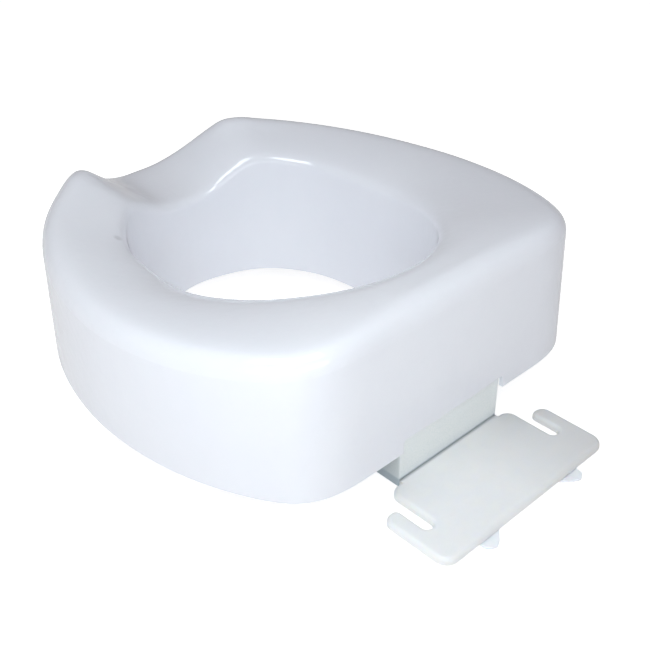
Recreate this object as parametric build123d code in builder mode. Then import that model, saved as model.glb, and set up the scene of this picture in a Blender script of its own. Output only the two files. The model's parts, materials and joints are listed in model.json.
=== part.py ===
from build123d import *
import math
import os
from scipy.interpolate import CubicSpline, PchipInterpolator

os.makedirs("parts", exist_ok=True)

# Raised toilet seat on a quick-release anchor plate.
# Millimetres. +Z up, +Y towards the tank, -Y towards the front, +X the seated
# person's left. The shapes are drawn on the symmetry plane with z = 0 at the
# bottom edge of the outer wall; each piece is then moved so that the origin is
# the bottom centre of the whole object's box.

# ------------------------------------------------------- shared dimensions
rest_z = -38.2            # plane of the bowl rim and ledge
play = 0.05               # gap between stacked hardware
front_r = 242             # outer wall at the front
lever_tip_y = 231.41      # rearmost point of the lever tabs

wall_t = 3.5              # shell wall
lip_w = 9.0               # flat part of the bottom lips before the cavity line
edge_r = 16.0             # outer shoulder, crease to crest
splash_bottom = -20.0     # bottom edge of the splash wall

# Support posts and their rubber pads
POSTS = [(104.0, -148.0, 112.0), (124.0, 60.0, 120.0)]  # x, y, bore height: front, rear
post_r, post_wall = 12.0, 2.8
pad_floor_t = 4.0

# Sheet metal bracket
metal_t = 1.6
bracket_hw = 53.7         # half width
bracket_front_y, bracket_rear_y = 104.0, 148.3
bracket_top, bracket_bottom = 9.4, -33.0
SCREWS = [(36.0, 117.0), (36.0, 136.0)]  # x, y of the bracket screws

# Anchor plate
plate_top, plate_t = -27.8, 6.2
plate_bottom = plate_top - plate_t

# Levers, pinned under the plate
pivot_x, pivot_y = 43.0, 188.0
pin_r = 2.5
pivot_washer_t = 0.3
lever_t = 2.2
lever_top = plate_bottom - pivot_washer_t - 2 * play
lever_bottom = lever_top - lever_t

place = Location((0, (front_r - lever_tip_y) / 2, -rest_z))


def mirrored(points):
    """Each point followed by its mirror image across x = 0."""
    return [(side * x, y) for x, y in points for side in (1, -1)]


def save(piece, name):
    piece.part.label = name
    export_step(piece.part.moved(place), f"parts/{name}.step")


# --------------------------------------------------- shape tables (by angle)
# Each entry starts with the angle in degrees, 0 at the front and 180 at the rear.
# Radius of the outer wall at its bottom edge.
OUTER_RADIUS = [
    (0, front_r), (12, 235.6), (22, 223.6), (34, 214.0), (45, 205.2), (55, 197.9),
    (65, 192.2), (73, 188.7), (82, 186.5), (97, 185.6), (109, 187.7), (118, 190.5),
    (125, 193.4), (131, 195.8), (137, 195.2), (144, 186.2), (154, 168.9), (167, 156.2),
    (180, 152.2)]
# Radius and height of the crease at the top of the splash wall.
CREASE_RADIUS = [
    (0, 156), (12, 156.4), (25.6, 155.2), (36, 147.5), (47.4, 137.3), (59.1, 124.7),
    (72.3, 115.0), (87.3, 108), (98.3, 104), (110.2, 101.2), (123.5, 99.6),
    (135.4, 99.6), (148.8, 100.2), (164.4, 101.2), (180, 102)]
CREASE_HEIGHT = [
    (0, 60), (7.3, 61.8), (11.3, 65.5), (15.3, 70.5), (19.7, 77.5), (22.5, 81.6),
    (25, 83.6), (30, 84.2), (36, 82.8), (47.4, 80.6), (59.1, 79.4), (72.3, 79.4),
    (87.3, 81.6), (98.3, 85), (110.2, 89), (123.5, 93.0), (135.4, 96.6),
    (148.8, 99.8), (164.4, 102.2), (180, 103.4)]
# How far the splash wall draws in between its crease and its bottom edge.
SPLASH_DRAFT = [
    (0, 6.5), (12, 10), (25, 13.5), (47, 15), (72, 13), (110, 13), (135, 12), (180, 10)]
# Height of the crest at the front scoop; beyond it the crest follows the shoulder.
SCOOP_CREST = [
    (0, 65.0), (4.7, 66.4), (6.5, 68.4), (8.6, 71.6), (11.1, 76.2), (13.5, 82.6),
    (15.8, 88.8), (18.4, 96.0), (20.6, 101.4), (21.9, 103.2), (23.4, 103.7),
    (25.5, 104.2), (29, 102.9), (34, 101.7)]
# Shoulder points from the outer crease: inset at the scoop and elsewhere,
# then rise at the scoop and elsewhere.
SHOULDER = [(4.0, 2.2, 7.7, 6.9), (9.5, 6.5, 13.8, 11.6), (17.6, 12.6, edge_r, 13.8)]

SECTION_ANGLES = [
    -12.5, -9, -4.5, 0, 4.5, 9, 12.5, 15.8, 18.6, 20.6, 22, 23.4, 25.4, 28.5, 33, 40,
    50, 61, 73, 86, 98, 108, 117, 124, 130, 135, 140, 145.5, 152, 160, 170, 180, 190,
    200]
# Spline parameters of the points over the top of a section.
SPLINE_KNOTS = [0, 0.09, 0.18, 0.27, 0.44, 0.61, 0.78, 0.833, 0.886, 0.942, 1.0]


def periodic_curve(table):
    """Cubic spline through the table and its mirror image."""
    angles = [row[0] for row in table]
    values = [row[1] for row in table]
    all_angles = [-a for a in angles[::-1][:-1]] + angles + [360 - a for a in angles[::-1][1:]]
    all_values = values[::-1][:-1] + values + values[::-1][1:]
    spline = CubicSpline(all_angles, all_values)
    return lambda angle: float(spline(angle))


def monotone_curve(table):
    """Curve without overshoot, held constant beyond the table's ends."""
    curve = PchipInterpolator([row[0] for row in table], [row[1] for row in table])
    return lambda angle: float(curve(min(max(angle, table[0][0]), table[-1][0])))


def fold(angle):
    """Bring an angle into 0 to 180 by symmetry."""
    angle = abs(angle)
    return 360 - angle if angle > 180 else angle


def blur(curve, width):
    """The curve averaged over a few degrees, so that it has no kinks."""
    steps = [k * 0.4 for k in range(-6, 7)]
    weights = [math.exp(-0.5 * s ** 2) for s in steps]
    return lambda angle: sum(
        w * curve(fold(angle + width * s)) for w, s in zip(weights, steps)) / sum(weights)


def smoothstep(x, start, end):
    t = min(max((x - start) / (end - start), 0.0), 1.0)
    return t * t * (3 - 2 * t)


def blend(a, b, k):
    return a + (b - a) * k


outer_radius = periodic_curve(OUTER_RADIUS)
crease_radius = periodic_curve(CREASE_RADIUS)
crease_height = blur(monotone_curve(CREASE_HEIGHT), 1.6)
splash_draft = blur(monotone_curve(SPLASH_DRAFT), 4.0)
scoop_crest = monotone_curve(SCOOP_CREST)


def raw_crest_height(angle):
    # beyond the scoop the outer crease is a parabola in y, seen from the side
    y = -outer_radius(angle) * math.cos(math.radians(angle)) / 150.0
    shoulder_crest = 82.9 + 6.8 * y + 7.5 * y * y + edge_r
    return blend(scoop_crest(angle), shoulder_crest, smoothstep(angle, 26, 36))


crest_height = blur(raw_crest_height, 0.8)


def outer_point(t):
    radius = outer_radius(math.degrees(t))
    return radius * math.sin(t), -radius * math.cos(t)


def wall_lean(angle):
    """Inset of the outer wall per 90 mm of height, from the direction it faces."""
    t, delta = math.radians(angle), 1e-3
    x0, y0 = outer_point(t - delta)
    x1, y1 = outer_point(t + delta)
    facing_y = -(x1 - x0) / math.hypot(x1 - x0, y1 - y0)   # y of the outward normal
    return 1.4 + 1.2 * max(facing_y, 0) ** 2 + 1.8 * abs(facing_y) + 0.6 * max(-facing_y, 0)


def offset_points(points, distance):
    """Points moved into the wall, square to the line through their neighbours."""
    moved = []
    for i, (x, z) in enumerate(points):
        before = points[max(i - 1, 0)]
        after = points[min(i + 1, len(points) - 1)]
        dx, dz = after[0] - before[0], after[1] - before[1]
        length = math.hypot(dx, dz)
        moved.append((x - dz / length * distance, z + dx / length * distance))
    return moved


def profile(angle, inset):
    """Points (radius, z) of the wall section, from the outer foot over the top
    to the foot of the splash wall, moved inwards by inset."""
    angle = fold(angle)
    foot_r = outer_radius(angle)
    inner_r, inner_z = crease_radius(angle), crease_height(angle)
    crest = crest_height(angle)
    outer_z = crest - edge_r
    outer_r = foot_r - wall_lean(angle) * (outer_z / 90.0)

    # shoulder: a soft roll round the scoop, a tighter one round the rest
    k = smoothstep(angle, 24, 44)
    shoulder = [(outer_r - blend(scoop_inset, inset_, k), outer_z + blend(scoop_rise, rise, k))
                for scoop_inset, inset_, scoop_rise, rise in SHOULDER]

    # rolled inner edge, part of an ellipse down to the splash wall
    roll_w = 12.0 + 6.0 * smoothstep(angle, 0, 34)
    roll_h = (crest - inner_z) * (0.42 + 0.16 * smoothstep(angle, 140, 176))
    roll_h = roll_h / (1 + (roll_h / 9.5) ** 4) ** 0.25    # stays below 9.5
    drop_below = 5.5                                       # ellipse centre below the crease
    semi_r, semi_z = roll_w + 2.5, roll_h + drop_below
    roll = [(inner_r + roll_w - semi_r * math.cos(math.radians(t)),
             inner_z - drop_below + semi_z * math.sin(math.radians(t)))
            for t in (60, 46, 32, 16, 0)]

    # deck: falls ever more steeply from the shoulder to the rolled edge
    deck_r, deck_z = shoulder[-1]
    span = deck_r - roll[0][0]
    drop = deck_z - roll[0][1]
    power = min(max(0.577 * semi_z / semi_r * span / drop, 1.05), 2.0)
    deck = [(deck_r - span * f, deck_z - drop * f ** power) for f in (1 / 3, 2 / 3)]

    outer_foot = (foot_r, 0.0)
    splash_foot = (inner_r - splash_draft(angle), splash_bottom)
    points = [outer_foot, (outer_r, outer_z)] + shoulder + deck + roll + [splash_foot]
    return offset_points(points, inset)


def carry_down(foot, upper, z):
    """Point at height z on the line through foot and upper."""
    return blend(foot[0], upper[0], (z - foot[1]) / (upper[1] - foot[1])), z


def section_plane(angle):
    """Radial plane: local x outwards, local y up."""
    t = math.radians(angle)
    return Plane(origin=(0, 0, 0), x_dir=(math.sin(t), -math.cos(t), 0),
                 z_dir=(-math.cos(t), -math.sin(t), 0))


def ring_solid(inset, outer_low, inner_low, lips=False):
    """Ring lofted through radial sections on the +X side, then mirrored."""
    with BuildPart() as ring:
        for angle in SECTION_ANGLES:
            points = profile(angle, inset)
            top = points[1:-1]
            outer_foot = carry_down(points[0], top[0], outer_low)
            inner_foot = carry_down(points[-1], top[-1], inner_low)
            with BuildSketch(section_plane(angle)):
                with BuildLine():
                    Line(outer_foot, top[0])
                    add(Edge.make_spline([Vector(*p) for p in top], parameters=SPLINE_KNOTS))
                    Line(top[-1], inner_foot)
                    if lips:
                        inner_lip = (inner_foot[0] + lip_w, inner_low)
                        outer_lip = (outer_foot[0] - lip_w, outer_low)
                        Line(inner_foot, inner_lip)
                        Line(inner_lip, outer_lip)
                        Line(outer_lip, outer_foot)
                    else:
                        Line(inner_foot, outer_foot)
                make_face()
        loft()
        split(bisect_by=Plane.YZ, keep=Keep.TOP)
        mirror(about=Plane.YZ)
    return ring.part


# ------------------------------------------------------------- seat shell
RIB_ANGLES = [10, 52, 84, 104, 149]
rib_t = 2.5
rib_w, rib_h = 160, 92
rib_center = (170, 78)    # radius, z
boss_r = 6.0
seat_gap = 0.1            # posts and bosses stand this far above what they rest on
pilot_r, pilot_depth = 2.1, 18.0
notch_hw, notch_top, notch_h = 53.6, 10.6, 30
notch_y, notch_depth = 160, 20
notch_corner_r = 3.4


def shell_supports():
    """Support posts, screw bosses and radial ribs, trimmed to the shell's wall."""
    with BuildPart() as supports:
        for x, y, _ in POSTS:
            with BuildSketch(Plane.XY.offset(rest_z + pad_floor_t + seat_gap)):
                with Locations(*mirrored([(x, y)])):
                    Circle(post_r)
            extrude(amount=165)
        with BuildSketch(Plane.XY.offset(bracket_top + seat_gap)):
            with Locations(*mirrored(SCREWS)):
                Circle(boss_r)
        extrude(amount=120)
        for angle in RIB_ANGLES:
            for side in (-1, 1):
                with BuildSketch(section_plane(angle * side)):
                    with Locations(rib_center):
                        Rectangle(rib_w, rib_h)
                extrude(amount=rib_t / 2, both=True)
        add(ring_solid(wall_t * 0.45, -80.0, -80.0), mode=Mode.INTERSECT)
    return supports.part


def seat_shell():
    body = ring_solid(0.0, 0.0, splash_bottom, lips=True)
    cavity = ring_solid(wall_t, -30.0, -50.0)
    supports = shell_supports()
    with BuildPart() as shell:
        add(body)
        add(cavity, mode=Mode.SUBTRACT)
        add(supports)
        # hollow posts, open at the foot
        for x, y, bore_h in POSTS:
            with BuildSketch(Plane.XY.offset(rest_z + pad_floor_t)):
                with Locations(*mirrored([(x, y)])):
                    Circle(post_r - post_wall)
            extrude(amount=bore_h, mode=Mode.SUBTRACT)
        # pilot bores for the bracket screws
        with BuildSketch(Plane.XY.offset(bracket_top)):
            with Locations(*mirrored(SCREWS)):
                Circle(pilot_r)
        extrude(amount=pilot_depth, mode=Mode.SUBTRACT)
        # rear notch the bracket passes through
        with BuildSketch(Plane.XZ.offset(-notch_y)):
            with Locations((0, notch_top - notch_h / 2)):
                notch = Rectangle(2 * notch_hw, notch_h)
            fillet(notch.vertices().group_by(Axis.Z)[-1], radius=notch_corner_r)
        extrude(amount=notch_depth, mode=Mode.SUBTRACT)
    return shell


# ------------------------------------------------------------ sheet bracket
flange_inner_x = 32.0     # inner edges of the bottom flanges
front_overcut = 10        # the channel cut runs this far out of the front
bracket_hole_r = 2.6
BAYONET = [(46.0, 138.3, 12.2, 7.4), (49.15, 142.0, 5.9, 14.8)]  # x, y, width, length


def bracket_box():
    inner_w = 2 * (bracket_hw - metal_t)
    channel_y0 = bracket_front_y - front_overcut
    channel_y1 = bracket_rear_y - metal_t
    tongue_slot_z = bracket_bottom + metal_t - 0.05
    with BuildPart() as bracket:
        with BuildSketch(Plane.XY.offset(bracket_bottom)):
            with Locations((0, (bracket_front_y + bracket_rear_y) / 2)):
                Rectangle(2 * bracket_hw, bracket_rear_y - bracket_front_y)
        extrude(amount=bracket_top - bracket_bottom)
        fillet(bracket.edges().filter_by(Axis.Z).sort_by(Axis.Y)[-2:], radius=1.4)
        fillet(bracket.faces().sort_by(Axis.Z)[-1].edges().sort_by(Axis.Y)[1:], radius=1.3)
        # inside of the folded channel, open to the front
        with BuildSketch(Plane.XY.offset(bracket_bottom + metal_t)):
            with Locations((0, (channel_y0 + channel_y1) / 2)):
                Rectangle(inner_w, channel_y1 - channel_y0)
        extrude(amount=bracket_top - bracket_bottom - 2 * metal_t, mode=Mode.SUBTRACT)
        # gap between the two bottom flanges
        with BuildSketch(Plane.XY.offset(bracket_bottom - 1)):
            with Locations((0, 126)):
                Rectangle(2 * flange_inner_x, 60)
        extrude(amount=metal_t + 2, mode=Mode.SUBTRACT)
        # slot in the rear wall for the tongue
        with BuildSketch(Plane.XY.offset(tongue_slot_z)):
            with Locations((0, bracket_rear_y)):
                Rectangle(inner_w, 12)
        extrude(amount=plate_top + 0.5 - tongue_slot_z, mode=Mode.SUBTRACT)
        # bayonet slots for the lever pegs in the bottom flanges
        with BuildSketch(Plane.XY.offset(bracket_bottom - 1)):
            for x, y, width, length in BAYONET:
                with Locations(*mirrored([(x, y)])):
                    Rectangle(width, length)
        extrude(amount=metal_t + 1.5, mode=Mode.SUBTRACT)
        # screw holes in the top
        with BuildSketch(Plane.XY.offset(bracket_top - 4)):
            with Locations(*mirrored(SCREWS)):
                Circle(bracket_hole_r)
        extrude(amount=6, mode=Mode.SUBTRACT)
    return bracket


washer_t, washer_outer_r, washer_inner_r = 0.8, 5.5, 2.7
washer_bottom = bracket_top - metal_t - play - washer_t
screw_head_top = washer_bottom - play
screw_head_h, screw_head_r, screw_head_round = 2.6, 4.4, 1.2
shank_r, shank_length = 2.04, 17.0
cross_length, cross_w, cross_depth = 4.2, 0.9, 1.4


def bracket_washers():
    with BuildPart() as washers:
        with BuildSketch(Plane.XY.offset(washer_bottom)):
            with Locations(*mirrored(SCREWS)):
                Circle(washer_outer_r)
                Circle(washer_inner_r, mode=Mode.SUBTRACT)
        extrude(amount=washer_t)
    return washers


def bracket_screws():
    """Cross-recessed screws, heads down."""
    with BuildPart() as screws:
        with BuildSketch(Plane.XY.offset(screw_head_top - screw_head_h)):
            with Locations(*mirrored(SCREWS)):
                Circle(screw_head_r)
        extrude(amount=screw_head_h)
        fillet(screws.faces().group_by(Axis.Z)[0].edges(), radius=screw_head_round)
        with BuildSketch(Plane.XY.offset(screw_head_top)):
            with Locations(*mirrored(SCREWS)):
                Circle(shank_r)
        extrude(amount=shank_length)
        with BuildSketch(Plane.XY.offset(screw_head_top - screw_head_h)):
            with Locations(*mirrored(SCREWS)):
                Rectangle(cross_length, cross_w)
                Rectangle(cross_w, cross_length)
        extrude(amount=cross_depth, mode=Mode.SUBTRACT)
    return screws


# ------------------------------------------------------------- anchor plate
slot_spacing = 140.0      # seat bolt spacing of a standard bowl
slot_w = 9.0              # takes an M8 or 5/16 in bolt
slot_rear_y = 193.4       # closed end of the slots
slot_cut_y = 140          # the slot cuts start here, in front of the plate
plate_front_y, plate_rear_y = 149.7, 223.4
plate_hw = 88.5
finger_y = 165.2          # front edge of the plate outside the slots
center_rear_y = 190       # rear of the centre rectangle, within the plate
tongue_hw, tongue_front_y, tongue_rear_y, tongue_t = 51.2, 110.0, 156, 3.2
FEET = [(75.5, 206.5, 5.5), (24.0, 161.0, 4.5), (22.0, 204.0, 4.5)]  # x, y, radius
slot_x = slot_spacing / 2
slot_inner_x, slot_outer_x = slot_x - slot_w / 2, slot_x + slot_w / 2
slot_arc_y = slot_rear_y - slot_w / 2
pivot_bore_depth = 4.2


def anchor_plate():
    with BuildPart() as plate:
        with BuildSketch(Plane.XY.offset(plate_bottom)) as outline:
            with Locations((0, (finger_y + plate_rear_y) / 2)):
                Rectangle(2 * plate_hw, plate_rear_y - finger_y)
            with Locations((0, (plate_front_y + center_rear_y) / 2)):
                Rectangle(2 * slot_inner_x, center_rear_y - plate_front_y)
            for side in (-1, 1):
                with Locations((side * slot_x, (slot_arc_y + slot_cut_y) / 2)):
                    Rectangle(slot_w, slot_arc_y - slot_cut_y, mode=Mode.SUBTRACT)
                with Locations((side * slot_x, slot_arc_y)):
                    Circle(slot_w / 2, mode=Mode.SUBTRACT)
            # rear corners, front centre corners, then both corners of the fingers
            fillet(outline.vertices().filter_by(lambda v: v.Y > plate_rear_y - 1), radius=10.5)
            fillet(outline.vertices().filter_by(lambda v: v.Y < plate_front_y + 1), radius=9)
            fillet(outline.vertices().filter_by(
                lambda v: abs(v.Y - finger_y) < 1 and abs(v.X) > plate_hw - 1), radius=8)
            fillet(outline.vertices().filter_by(
                lambda v: abs(v.Y - finger_y) < 1
                and slot_outer_x - 1 < abs(v.X) < slot_outer_x + 1), radius=5)
        extrude(amount=plate_t)
        fillet(plate.faces().sort_by(Axis.Z)[-1].edges(), radius=3.4)
        fillet(plate.faces().sort_by(Axis.Z)[0].edges(), radius=0.9)
        # level top where the plate meets the bracket's rear wall
        level_t = 4.5
        with BuildSketch(Plane.XY.offset(plate_top - level_t)):
            with Locations((0, 151.8)):
                Rectangle(106.0, 6.8)
        extrude(amount=level_t)
        # tongue that slides into the bracket
        with BuildSketch(Plane.XY.offset(plate_top - tongue_t)) as tongue:
            with Locations((0, (tongue_front_y + tongue_rear_y) / 2)):
                Rectangle(2 * tongue_hw, tongue_rear_y - tongue_front_y)
            fillet(tongue.vertices().filter_by(lambda v: v.Y < tongue_front_y + 1), radius=7)
        extrude(amount=tongue_t)
        # feet under the plate
        with BuildSketch(Plane.XY.offset(rest_z)):
            for x, y, radius in FEET:
                with Locations(*mirrored([(x, y)])):
                    Circle(radius)
        extrude(amount=plate_bottom - rest_z + 0.5)
        # lightening pocket between the levers
        with BuildSketch(Plane.XY.offset(plate_bottom)):
            with Locations((0, 182)):
                RectangleRounded(34, 34, 5)
        extrude(amount=2.6, mode=Mode.SUBTRACT)
        # pivot bores, blind from below
        with BuildSketch(Plane.XY.offset(plate_bottom)):
            with Locations(*mirrored([(pivot_x, pivot_y)])):
                Circle(pin_r + 0.05)
        extrude(amount=pivot_bore_depth, mode=Mode.SUBTRACT)
        # seats for the fixed ends of the leaf springs
        with BuildSketch(Plane.XY.offset(rest_z)):
            for side in (-1, 1):
                with Locations((side * 24.6, 205.2)):
                    Rectangle(6.2, 1.0, rotation=side * 40)
        extrude(amount=plate_bottom - rest_z, mode=Mode.SUBTRACT)
    return plate


# ------------------------------------------------- latch levers and pivots
# In these functions side is 1 for the left piece and -1 for the right one.
peg_y, peg_r, peg_top = 138.0, 2.5, -31.5
peg_overlap = 0.2         # the peg starts this far inside the lever
# x, y round the left lever
LEVER_OUTLINE = [
    (38.4, peg_y), (47.6, peg_y), (49.6, pivot_y), (51.6, 205.0), (54.2, 220.0),
    (53.8, 228.0), (47.4, 231.9), (41.8, 229.2), (33.8, 222.4), (34.4, 205.0),
    (36.4, pivot_y)]


def latch_lever(side):
    with BuildPart() as lever:
        with BuildSketch(Plane.XY.offset(lever_bottom)) as outline:
            with Locations((side * pivot_x, pivot_y)):
                Circle(7.6)
            with BuildLine():
                Polyline(*[(side * x, y) for x, y in LEVER_OUTLINE], close=True)
            make_face()
            with Locations((side * pivot_x, peg_y)):
                Circle(4.6)
            fillet(outline.vertices().filter_by(lambda v: v.Y > 219), radius=3.6)
            with Locations((side * pivot_x, pivot_y)):
                Circle(pin_r + 0.06, mode=Mode.SUBTRACT)
        extrude(amount=lever_t)
        # soften the rear tab, bottom then top
        for face_index in (0, -1):
            fillet(lever.faces().sort_by(Axis.Z)[face_index].outer_wire().edges().filter_by(
                lambda e: (e @ 0.5).Y > 200), radius=0.7)
        with BuildSketch(Plane.XY.offset(lever_top - peg_overlap)):
            with Locations((side * pivot_x, peg_y)):
                Circle(peg_r)
        extrude(amount=peg_top - (lever_top - peg_overlap))
        chamfer(lever.faces().sort_by(Axis.Z)[-1].edges(), length=0.4)
    return lever


def pivot_screw(side):
    """Flat-headed pin with a hex socket, head below the lever."""
    head_h = 1.2
    head_top = lever_bottom - play
    pin_top = plate_bottom + pivot_bore_depth - 0.1
    with BuildPart() as screw:
        with BuildSketch(Plane.XY.offset(head_top - head_h)):
            with Locations((side * pivot_x, pivot_y)):
                Circle(5.0)
        extrude(amount=head_h)
        chamfer(screw.faces().sort_by(Axis.Z)[0].edges(), length=0.4)
        with BuildSketch(Plane.XY.offset(head_top)):
            with Locations((side * pivot_x, pivot_y)):
                Circle(pin_r)
        extrude(amount=pin_top - head_top)
        with BuildSketch(Plane.XY.offset(head_top - head_h)):
            with Locations((side * pivot_x, pivot_y)):
                RegularPolygon(1.7, 6)
        extrude(amount=0.8, mode=Mode.SUBTRACT)
    return screw


def pivot_washer(side):
    with BuildPart() as washer:
        with BuildSketch(Plane.XY.offset(lever_top + play)):
            with Locations((side * pivot_x, pivot_y)):
                Circle(6.5)
                Circle(pin_r + 0.1, mode=Mode.SUBTRACT)
        extrude(amount=pivot_washer_t)
    return washer


def return_spring(side):
    """Leaf spring: a straight fixed end, then an arc towards the lever."""
    spring_t = 0.5
    edge_gap = 0.1        # narrower than the lever's thickness on each edge
    bend = (side * 27.0, 207.2)
    with BuildPart() as spring:
        with BuildSketch(Plane.XY.offset(lever_bottom + edge_gap)):
            with BuildLine():
                Line((side * 22.6, 203.5), bend)
                ThreePointArc(bend, (side * 31.0, 211.6), (side * 33.2, 217.0))
            trace(line_width=spring_t)
        extrude(amount=lever_t - 2 * edge_gap)
    return spring


# ------------------------------------------------------------- rubber pads
pad_h = 14
pad_wall = 2.4
TREAD_GROOVES = [(9.4, 8.2), (5.2, 4.0)]  # outer and inner radius
groove_depth = 1.2


def rim_pad(x, y):
    """Cup over the foot of a support post."""
    with BuildPart() as pad:
        with BuildSketch(Plane.XY.offset(rest_z)):
            with Locations((x, y)):
                Circle(post_r + pad_wall)
        extrude(amount=pad_h)
        fillet(pad.faces().sort_by(Axis.Z)[0].edges(), radius=2)
        fillet(pad.faces().sort_by(Axis.Z)[-1].edges(), radius=0.8)
        with BuildSketch(Plane.XY.offset(rest_z + pad_floor_t)):
            with Locations((x, y)):
                Circle(post_r + 0.1)
        extrude(amount=pad_h, mode=Mode.SUBTRACT)
        # tread grooves in the sole
        with BuildSketch(Plane.XY.offset(rest_z)):
            with Locations((x, y)):
                for outer_r, inner_r in TREAD_GROOVES:
                    Circle(outer_r)
                    Circle(inner_r, mode=Mode.SUBTRACT)
        extrude(amount=groove_depth, mode=Mode.SUBTRACT)
    return pad


# ------------------------------------------------------------------ output
save(seat_shell(), "seat_shell")
save(bracket_box(), "bracket_box")
save(bracket_washers(), "bracket_washers")
save(bracket_screws(), "bracket_screws")
save(anchor_plate(), "anchor_plate")
for side_name, sign in (("left", 1), ("right", -1)):
    save(latch_lever(sign), f"latch_lever_{side_name}")
    save(pivot_screw(sign), f"pivot_screw_{side_name}")
    save(pivot_washer(sign), f"pivot_washer_{side_name}")
    save(return_spring(sign), f"return_spring_{side_name}")
    for end_name, (post_x, post_y, _) in zip(("front", "rear"), POSTS):
        save(rim_pad(sign * post_x, post_y), f"rim_pad_{end_name}_{side_name}")
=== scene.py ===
# A plastic seat on a plate and metal brackets, with a lever and a leaf return spring on
# each side. It rests on z = 0, +Z up, with its left side on +X. All lengths are in metres.
import json
import math

import bpy
import bmesh
from mathutils import Matrix, Vector


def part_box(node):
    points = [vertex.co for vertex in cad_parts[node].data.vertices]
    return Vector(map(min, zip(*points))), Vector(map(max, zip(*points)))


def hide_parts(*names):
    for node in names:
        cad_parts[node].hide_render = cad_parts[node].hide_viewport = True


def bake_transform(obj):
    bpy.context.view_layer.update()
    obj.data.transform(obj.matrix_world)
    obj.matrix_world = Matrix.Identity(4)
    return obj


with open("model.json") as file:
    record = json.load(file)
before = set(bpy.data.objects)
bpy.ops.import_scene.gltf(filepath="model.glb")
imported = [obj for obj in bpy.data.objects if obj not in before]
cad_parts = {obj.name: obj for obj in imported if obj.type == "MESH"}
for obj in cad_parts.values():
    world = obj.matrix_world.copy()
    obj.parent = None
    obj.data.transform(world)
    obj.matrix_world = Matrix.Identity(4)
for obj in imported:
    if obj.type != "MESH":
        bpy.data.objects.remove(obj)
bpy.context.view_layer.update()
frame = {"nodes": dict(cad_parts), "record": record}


def add_object(name, data):
    obj = bpy.data.objects.new(name, data)
    bpy.context.collection.objects.link(obj)
    return obj


# ------------------------------------------------------------------ node helpers
class Nodes:
    """Short ways to add nodes to a shader tree."""

    def __init__(self, tree):
        self.tree = tree

    def feed(self, socket, value):
        """Link a socket to an input, or set the input to a plain value."""
        if isinstance(value, bpy.types.NodeSocket):
            self.tree.links.new(value, socket)
        else:
            socket.default_value = value

    def node(self, kind, inputs=None, **settings):
        node = self.tree.nodes.new("ShaderNode" + kind)
        for name, value in settings.items():
            setattr(node, name, value)
        for key, value in (inputs or {}).items():
            self.feed(node.inputs[key], value)
        return node

    def math(self, operation, first, second=0.0):
        return self.node("Math", {0: first, 1: second}, operation=operation).outputs[0]

    def vector_math(self, operation, first, second):
        node = self.node("VectorMath", {0: first, 1: second}, operation=operation)
        return node.outputs["Value"]

    def remap(self, value, span, to=(0.0, 1.0), smooth=False):
        """Carry the range span to the range to, held at its ends."""
        node = self.node("MapRange", {
            "From Min": span[0], "From Max": span[1],
            "To Min": to[0], "To Max": to[1], "Value": value,
        }, interpolation_type="SMOOTHSTEP" if smooth else "LINEAR")
        return node.outputs["Result"]

    def mix(self, amount, first, second):
        """Blend two colours, each a socket or an RGB triple."""
        first, second = ((*color, 1.0) if isinstance(color, tuple) else color
                         for color in (first, second))
        node = self.node("Mix", {"Factor": amount, "A": first, "B": second}, data_type="RGBA")
        return node.outputs["Result"]


class Procedural(Nodes):
    """A procedural material in object coordinates."""

    def __init__(self, name):
        self.material = bpy.data.materials.new(name)
        self.material.use_nodes = True
        super().__init__(self.material.node_tree)
        self.tree.nodes.clear()
        self.surface = self.node("OutputMaterial").inputs["Surface"]
        self.bsdf = self.node("BsdfPrincipled")
        self.feed(self.surface, self.bsdf.outputs["BSDF"])
        self.position = self.node("TexCoord").outputs["Object"]
        self.relief = None

    def noise(self, scale, detail=3.0, rough=0.55, stretch=None, distort=0.0):
        node = self.node("TexNoise", {"Scale": scale, "Detail": detail, "Roughness": rough,
                                      "Distortion": distort})
        source = self.position
        if stretch:
            mapping = self.node("Mapping", {"Vector": source, "Scale": stretch})
            source = mapping.outputs["Vector"]
        self.feed(node.inputs["Vector"], source)
        return node.outputs["Fac"]

    def cells(self, scale):
        node = self.node("TexVoronoi", {"Scale": scale, "Randomness": 1.0,
                                        "Vector": self.position})
        return node.outputs["Distance"]

    def separate(self, vector):
        return self.node("SeparateXYZ", {0: vector}).outputs

    def spot(self, center, inner, outer):
        """1 within the inner radius of a point, 0 beyond the outer one."""
        distance = self.vector_math("DISTANCE", self.position, center)
        return self.remap(distance, span=(inner, outer), to=(1.0, 0.0), smooth=True)

    def edges(self, radius, bend=(0.004, 0.12)):
        """1 on sharp edges, where the normal and a rounded normal part by the bend."""
        rounded = self.node("Bevel", {"Radius": radius}, samples=6).outputs["Normal"]
        normal = self.node("NewGeometry").outputs["Normal"]
        likeness = self.vector_math("DOT_PRODUCT", rounded, normal)
        return self.remap(likeness, span=(1.0 - bend[0], 1.0 - bend[1]), smooth=True)

    def set(self, **inputs):
        """Feed inputs of the main shader, with underscores for the spaces."""
        for name, value in inputs.items():
            self.feed(self.bsdf.inputs[name.replace("_", " ")], value)

    def base(self, amount, low, high):
        self.color = self.mix(amount, low, high)
        self.set(Base_Color=self.color)

    def layer(self, amount, color):
        """Lay a colour over those set so far."""
        self.base(amount, self.color, color)

    def bump(self, height, distance):
        """Add relief on top of any set so far."""
        node = self.node("Bump", {"Strength": 1.0, "Distance": distance, "Height": height})
        if self.relief is not None:
            self.feed(node.inputs["Normal"], self.relief)
        self.relief = node.outputs["Normal"]
        self.set(Normal=self.relief)


# --------------------------------------------------------------------- materials
MOULDING_MARK = (0.1021, -0.0974, 0.1233)


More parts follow.
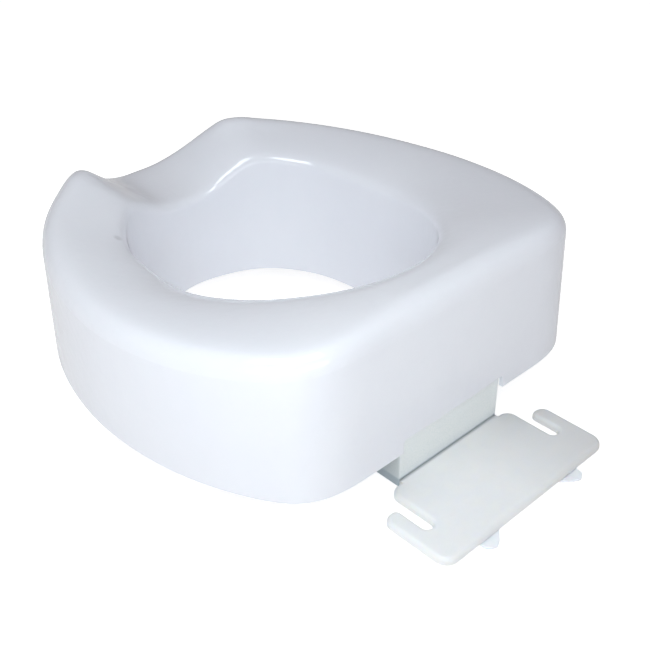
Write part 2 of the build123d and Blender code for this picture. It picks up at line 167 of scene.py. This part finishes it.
def shell_plastic():
    m = Procedural("shell_plastic")
    broad = m.noise(scale=5.0, detail=2.0)
    mid = m.noise(scale=60.0)
    fine = m.noise(scale=900.0, detail=2.0)
    m.base(m.remap(broad, span=(0.35, 0.65)),
           low=(0.838, 0.850, 0.910), high=(0.858, 0.868, 0.920))
    m.layer(m.remap(mid, span=(0.35, 0.7), to=(0.0, 0.22)), (0.818, 0.832, 0.900))
    m.layer(m.remap(fine, span=(0.55, 0.8), to=(0.0, 0.10)), (0.77, 0.785, 0.85))
    mark = m.spot(MOULDING_MARK, inner=0.0012, outer=0.0048)
    m.layer(m.math("MULTIPLY", mark, 0.34), (0.40, 0.41, 0.44))
    # scuffs drawn out along Y are rougher than the gloss around them
    scuff = m.noise(scale=420.0, detail=4.0, rough=0.7, stretch=(1.0, 0.12, 1.0), distort=0.6)
    gloss = m.remap(m.noise(scale=25.0), span=(0.3, 0.7), to=(0.060, 0.095))
    scuff = m.remap(scuff, span=(0.60, 0.80), to=(0.0, 0.06))
    m.set(Roughness=m.math("ADD", gloss, scuff), IOR=1.51, Subsurface_Weight=0.12,
          Subsurface_Radius=(1.0, 0.85, 0.9), Subsurface_Scale=0.004)
    m.bump(m.noise(scale=160.0, detail=2.0, rough=0.5), distance=0.00009)
    m.bump(m.noise(scale=1500.0, detail=2.0, rough=0.5), distance=0.000006)
    dent = m.spot(MOULDING_MARK, inner=0.0, outer=0.0035)
    m.bump(m.math("SUBTRACT", 1.0, dent), distance=0.00012)
    return m.material


def plate_plastic():
    m = Procedural("plate_plastic")
    mid = m.noise(scale=45.0, detail=4.0, rough=0.6)
    fine = m.noise(scale=700.0, rough=0.6)
    m.base(m.remap(mid, span=(0.35, 0.68)),
           low=(0.835, 0.845, 0.858), high=(0.865, 0.869, 0.872))
    m.layer(m.remap(fine, span=(0.5, 0.8), to=(0.0, 0.22)), (0.77, 0.778, 0.785))
    edge = m.edges(radius=0.0035, bend=(0.01, 0.30))
    m.layer(m.math("MULTIPLY", edge, 0.55), (0.92, 0.905, 0.855))
    # painted shade: darker towards -X, as the light falls off there
    x, y, z = m.separate(m.position)
    m.layer(m.remap(x, span=(0.03, -0.09), to=(0.0, 0.52), smooth=True), (0.62, 0.615, 0.615))
    # painted shade: darker over the top on the -Y side, under the bracket
    before = m.remap(y, span=(0.1538, 0.1562), to=(0.65, 0.0), smooth=True)
    shade_under_bracket = m.math("MULTIPLY", before, m.remap(z, span=(0.009, 0.0102)))
    m.layer(shade_under_bracket, (0.36, 0.38, 0.40))
    # streaks along X
    streak = m.noise(scale=260.0, rough=0.6, stretch=(0.1, 1.0, 1.0), distort=0.3)
    grain = m.remap(fine, span=(0.3, 0.7), to=(0.36, 0.46))
    streak = m.remap(streak, span=(0.55, 0.75), to=(0.0, 0.10))
    m.set(Roughness=m.math("ADD", grain, streak), IOR=1.5, Subsurface_Weight=0.45,
          Subsurface_Radius=(1.0, 0.85, 0.65), Subsurface_Scale=0.004)
    m.bump(mid, distance=0.00012)
    m.bump(fine, distance=0.00003)
    return m.material


def bracket_metal():
    m = Procedural("bracket_metal")
    broad = m.noise(scale=22.0)
    grain = m.noise(scale=820.0, rough=0.7)
    m.base(m.remap(broad, span=(0.35, 0.65)),
           low=(0.935, 0.970, 0.965), high=(0.960, 0.985, 0.975))
    m.layer(m.remap(grain, span=(0.42, 0.66), to=(0.0, 0.80)), (0.80, 0.865, 0.865))
    m.layer(m.remap(m.cells(scale=900.0), span=(0.0, 0.18), to=(0.5, 0.0)), (0.97, 0.98, 0.97))
    # bare metal in patches along the edges
    edge = m.math("MULTIPLY", m.edges(radius=0.0006),
                  m.remap(m.noise(scale=240.0, detail=4.0), span=(0.45, 0.62)))
    m.layer(m.math("MULTIPLY", edge, 0.7), (0.42, 0.43, 0.43))
    # painted shade on the faces turned to +X and -X, deeper under the seat
    _, y, z = m.separate(m.position)
    normal = m.node("NewGeometry").outputs["True Normal"]
    sideways = m.math("ABSOLUTE", m.separate(normal)[0])
    painted_side_shade = m.math("MULTIPLY", m.remap(sideways, span=(0.3, 0.9)),
                   m.remap(y, span=(0.156, 0.122), to=(0.42, 0.92), smooth=True))
    m.layer(painted_side_shade, (0.26, 0.33, 0.35))
    # painted contact shadow along the bottom where the bracket meets the plate, and a fainter
    # bluish painted reflection reaching higher
    m.layer(m.remap(z, span=(0.0108, 0.0134), to=(0.85, 0.0), smooth=True), (0.30, 0.37, 0.41))
    m.layer(m.remap(z, span=(0.011, 0.022), to=(0.22, 0.0), smooth=True), (0.62, 0.70, 0.78))
    m.set(Roughness=m.math("SUBTRACT", m.remap(grain, span=(0.3, 0.7), to=(0.42, 0.58)),
                           m.math("MULTIPLY", edge, 0.15)),
          Metallic=m.math("MULTIPLY", edge, 0.8), Coat_Weight=0.15, Coat_Roughness=0.35)
    m.bump(grain, distance=0.00004)
    m.bump(m.cells(scale=650.0), distance=0.00003)
    return m.material


def lever_plastic():
    m = Procedural("lever_plastic")
    m.base(m.remap(m.noise(scale=80.0), span=(0.35, 0.65)),
           low=(0.895, 0.925, 0.975), high=(0.91, 0.935, 0.98))
    m.layer(m.math("MULTIPLY", m.edges(radius=0.0006), 0.35), (0.90, 0.92, 0.965))
    m.set(Roughness=m.remap(m.noise(scale=300.0), span=(0.3, 0.7), to=(0.16, 0.25)),
          Subsurface_Weight=0.15, Subsurface_Scale=0.002)
    m.bump(m.noise(scale=500.0, detail=2.0), distance=0.00003)
    return m.material


def steel(name, low, high, roughness):
    """Steel grained along Z, between two colours and two roughnesses."""
    m = Procedural(name)
    grain = m.noise(scale=900.0, rough=0.6, stretch=(1.0, 1.0, 0.25))
    m.base(m.remap(grain, span=(0.3, 0.7)), low, high)
    warm = m.noise(scale=120.0, detail=2.0)
    m.layer(m.remap(warm, span=(0.5, 0.75), to=(0.0, 0.25)), (0.62, 0.60, 0.50))
    m.layer(m.math("MULTIPLY", m.edges(radius=0.0003), 0.5), (0.85, 0.85, 0.86))
    worn = m.noise(scale=600.0, detail=4.0)
    m.set(Roughness=m.remap(worn, span=(0.3, 0.7), to=roughness), Metallic=1.0)
    m.bump(grain, distance=0.00002)
    return m.material


def nylon():
    m = Procedural("nylon")
    m.base(m.remap(m.noise(scale=200.0), span=(0.35, 0.65)),
           low=(0.76, 0.75, 0.70), high=(0.82, 0.81, 0.77))
    m.set(Roughness=m.remap(m.noise(scale=700.0), span=(0.3, 0.7), to=(0.42, 0.55)),
          Subsurface_Weight=0.3, Subsurface_Scale=0.002)
    m.bump(m.noise(scale=900.0, detail=2.0), distance=0.00003)
    return m.material


def pad_rubber():
    m = Procedural("pad_rubber")
    m.base(m.remap(m.noise(scale=150.0, detail=4.0), span=(0.35, 0.65)),
           low=(0.245, 0.25, 0.26), high=(0.30, 0.305, 0.31))
    dust = m.math("MULTIPLY", m.edges(radius=0.0008),
                  m.remap(m.noise(scale=400.0, detail=4.0), span=(0.4, 0.65)))
    m.layer(m.math("MULTIPLY", dust, 0.5), (0.42, 0.42, 0.42))
    worn = m.noise(scale=500.0, detail=4.0)
    m.set(Roughness=m.remap(worn, span=(0.3, 0.7), to=(0.62, 0.82)))
    m.bump(m.noise(scale=1100.0), distance=0.00008)
    return m.material


MATERIALS = {
    "shell_plastic": shell_plastic(),
    "plate_plastic": plate_plastic(),
    "bracket_metal": bracket_metal(),
    "lever_plastic": lever_plastic(),
    "steel": steel("steel", low=(0.52, 0.53, 0.54), high=(0.66, 0.67, 0.68),
                   roughness=(0.24, 0.40)),
    "spring_steel": steel("spring_steel", low=(0.40, 0.40, 0.42), high=(0.55, 0.55, 0.57),
                          roughness=(0.22, 0.36)),
    "nylon": nylon(),
    "pad_rubber": pad_rubber(),
}
slots = {part["node"]: part["material_slot"] for part in frame["record"]["subparts"]}
for name, obj in frame["nodes"].items():
    obj.data.materials.clear()
    obj.data.materials.append(MATERIALS[slots[name]])

# ------------------------------------------------------------------ leaf springs
# (x, y) stations of the left spring, y from the parts' own zero line
PARTS_Y = 0.005295  # y of that zero line in the frame
FIXED_END = (0.0226, 0.2035)
BEND_START = (0.0270, 0.2072)
BEND_MIDDLE = (0.0310, 0.2116)
LEVER_END = (0.0332, 0.2170)
STRAIGHT_STEPS = 8
ARC_STEPS = 20
HALF_THICKNESS = 0.00022
FLAT_SHARE = 0.6  # share of the thickness left between the chamfers
CHAMFER_HEIGHT = 0.0001
END_GAP = 0.00005  # the strip is this much short of its part's box at top and bottom


def circle_center(first, second, third):
    """Centre of the circle through three points."""
    (x1, y1), (x2, y2), (x3, y3) = first, second, third
    s1, s2, s3 = (x * x + y * y for x, y in (first, second, third))
    area = 2 * (x1 * (y2 - y3) + x2 * (y3 - y1) + x3 * (y1 - y2))
    return ((s1 * (y2 - y3) + s2 * (y3 - y1) + s3 * (y1 - y2)) / area,
            (s1 * (x3 - x2) + s2 * (x1 - x3) + s3 * (x2 - x1)) / area)


def spring_line(sign):
    """Centre line at rest: a straight from the fixed end, then an arc to the lever."""
    (x0, y0), (x1, y1), (x3, y3) = FIXED_END, BEND_START, LEVER_END
    center_x, center_y = circle_center(BEND_START, BEND_MIDDLE, LEVER_END)
    radius = math.hypot(x1 - center_x, y1 - center_y)
    start = math.atan2(y1 - center_y, x1 - center_x)
    sweep = math.atan2(y3 - center_y, x3 - center_x) - start
    points = []
    for i in range(STRAIGHT_STEPS):
        t = i / STRAIGHT_STEPS
        points.append((x0 + (x1 - x0) * t, y0 + (y1 - y0) * t))
    for i in range(ARC_STEPS + 1):
        angle = start + sweep * i / ARC_STEPS
        points.append((center_x + radius * math.cos(angle), center_y + radius * math.sin(angle)))
    return [Vector((sign * x, y + PARTS_Y, 0)) for x, y in points]


def leaf_spring(sign, side):
    part = "return_spring_" + side
    low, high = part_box(part)
    bottom = low.z + END_GAP
    top = high.z - END_GAP
    flat = HALF_THICKNESS * FLAT_SHARE
    # (offset across the strip, z) round the chamfered section
    section = (
        (-flat, bottom), (flat, bottom),
        (HALF_THICKNESS, bottom + CHAMFER_HEIGHT), (HALF_THICKNESS, top - CHAMFER_HEIGHT),
        (flat, top), (-flat, top),
        (-HALF_THICKNESS, top - CHAMFER_HEIGHT), (-HALF_THICKNESS, bottom + CHAMFER_HEIGHT),
    )
    bm = bmesh.new()
    line = spring_line(sign)
    rings = []
    for i, point in enumerate(line):
        along = (line[min(i + 1, len(line) - 1)] - line[max(i - 1, 0)]).normalized()
        across = Vector((-along.y, along.x, 0))
        rings.append([bm.verts.new((*(point + across * offset).xy, z)) for offset, z in section])
    for ring, following in zip(rings, rings[1:]):
        for k in range(len(section)):
            j = (k + 1) % len(section)
            bm.faces.new((ring[k], ring[j], following[j], following[k]))
    bm.faces.new(rings[0][::-1])
    bm.faces.new(rings[-1])
    bmesh.ops.recalc_face_normals(bm, faces=bm.faces)
    mesh = bpy.data.meshes.new("leaf_spring_" + side)
    bm.to_mesh(mesh)
    bm.free()
    spring = add_object("leaf_spring_" + side, mesh)
    mesh.materials.append(MATERIALS["spring_steel"])
    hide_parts(part)
    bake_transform(spring)


leaf_spring(1, "left")
leaf_spring(-1, "right")

# ------------------------------------------------------------------------- stage
scene = bpy.context.scene
scene.view_settings.view_transform = "Standard"
scene.view_settings.look = "None"


def floor_material():
    m = Procedural("floor")
    m.base(m.remap(m.noise(scale=3.0), span=(0.3, 0.7)),
           low=(0.60, 0.60, 0.60), high=(0.61, 0.61, 0.61))
    m.set(Roughness=0.9, Specular_IOR_Level=0.1, Emission_Color=(1, 1, 1, 1))
    # it glows evenly for the camera; the light it gives falls off towards -X and -Y
    x, y, _ = m.separate(m.position)
    side = m.math("ADD", m.math("MULTIPLY", x, 0.85), m.math("MULTIPLY", y, 0.35))
    camera_ray = m.node("LightPath").outputs["Is Camera Ray"]
    given = m.remap(side, span=(-0.35, 0.45), to=(0.31, 0.50), smooth=True)
    seen = m.math("MULTIPLY", camera_ray, 0.80)
    given = m.math("MULTIPLY", given, m.math("SUBTRACT", 1.0, camera_ray))
    m.set(Emission_Strength=m.math("ADD", seen, given))
    # clear from below, so that the seat's underside can be looked at
    backfacing = m.node("NewGeometry").outputs["Backfacing"]
    clear = m.node("BsdfTransparent").outputs[0]
    switch = m.node("MixShader", {1: m.bsdf.outputs[0], 2: clear})
    m.feed(switch.inputs[0], m.math("MULTIPLY", backfacing, camera_ray))
    m.feed(m.surface, switch.outputs[0])
    return m.material


# just under the product, to keep clear of its lowest faces
bpy.ops.mesh.primitive_plane_add(size=40, location=(0, 0, -0.0004))
floor = bpy.context.object
floor.name = "floor"
floor.data.materials.append(floor_material())


def build_world():
    world = bpy.data.worlds.new("studio")
    scene.world = world
    world.use_nodes = True
    w = Nodes(world.node_tree)
    background = w.tree.nodes["Background"].inputs
    background["Color"].default_value = (1.0, 0.965, 0.995, 1)
    # slightly stronger towards +X
    view = w.node("TexCoord").outputs["Generated"]
    facing = w.vector_math("DOT_PRODUCT", view, (0.86, 0.20, -0.10))
    glow = w.remap(facing, span=(-0.8, 0.8), to=(0.33, 0.34))
    # the camera sees plain white
    camera_ray = w.node("LightPath").outputs["Is Camera Ray"]
    strength = w.node("Mix", {"Factor": camera_ray, "A": glow, "B": 1.0})
    w.feed(background["Strength"], strength.outputs["Result"])
    tint = tuple(background["Color"].default_value)[:3]
    w.feed(background["Color"], w.mix(camera_ray, tint, (1, 1, 1)))


build_world()

LIGHT_TARGET = Vector((0.04, 0.0, 0.11))
LIGHT_COLOR = (0.91, 0.985, 1.0)
# name, azimuth from -Y towards +X and elevation (degrees), distance, width, height,
# energy (W), kind: "soft" lights have no mirror image, "sheen" lights nothing but
LIGHTS = (
    ("softbox", 102, 61, 0.85, 0.32, 0.34, 2.9, "sheen"),
    ("softbox_rear", 168, 58, 0.85, 0.25, 0.36, 2.5, "sheen"),
    ("key", 107, 56, 0.85, 0.52, 0.10, 2.38, "soft"),
    ("fill", 130, 36, 0.75, 0.50, 0.50, 1.43, "soft"),
    ("fill_rear", 150, 40, 0.60, 0.40, 0.40, 0.53, "soft"),
    ("fill_side", 190, 36, 0.80, 0.50, 0.50, 0.45, "soft"),
    ("strip_front", 80, 15, 0.85, 0.60, 0.20, 0.12, "sheen"),
    ("strip", 122, 18, 0.85, 0.50, 0.22, 1.15, "sheen"),
    ("strip_rear", 163, 17, 0.85, 0.55, 0.22, 1.25, "sheen"),
)


def direction(azimuth, elevation):
    a, e = math.radians(azimuth), math.radians(elevation)
    return Vector((math.sin(a) * math.cos(e), -math.cos(a) * math.cos(e), math.sin(e)))


for name, azimuth, elevation, distance, width, height, energy, kind in LIGHTS:
    panel = bpy.data.lights.new(name, "AREA")
    panel.shape = "RECTANGLE"
    panel.size = width
    panel.size_y = height
    panel.energy = energy
    panel.color = LIGHT_COLOR
    light = add_object(name, panel)
    light.location = LIGHT_TARGET + direction(azimuth, elevation) * distance
    aim = LIGHT_TARGET - light.location
    light.rotation_euler = aim.to_track_quat("-Z", "Y").to_euler()
    light.visible_glossy = kind == "sheen"
    light.visible_diffuse = kind == "soft"

# ------------------------------------------------------------------------ camera
CAMERA_PLACE = (0.4621659985, 0.5128391060, 0.5059734732)
CAMERA_AXES = (
    (-0.7245385045, 0.6892038220, -0.0064843700),  # right
    (-0.3884729420, -0.4005820214, 0.8298330058),  # up
    (0.5693265572, 0.6037649673, 0.5579741351),  # back, away from the view
)
lens = bpy.data.cameras.new("camera")
camera = add_object("camera", lens)
turn = Matrix(CAMERA_AXES).transposed().to_4x4()
camera.matrix_world = Matrix.Translation(CAMERA_PLACE) @ turn
lens.sensor_width = 36
lens.lens = 57.4155692
lens.shift_x = -0.0000916923
lens.shift_y = 0.00152615385
lens.clip_start = 0.01
scene.camera = camera
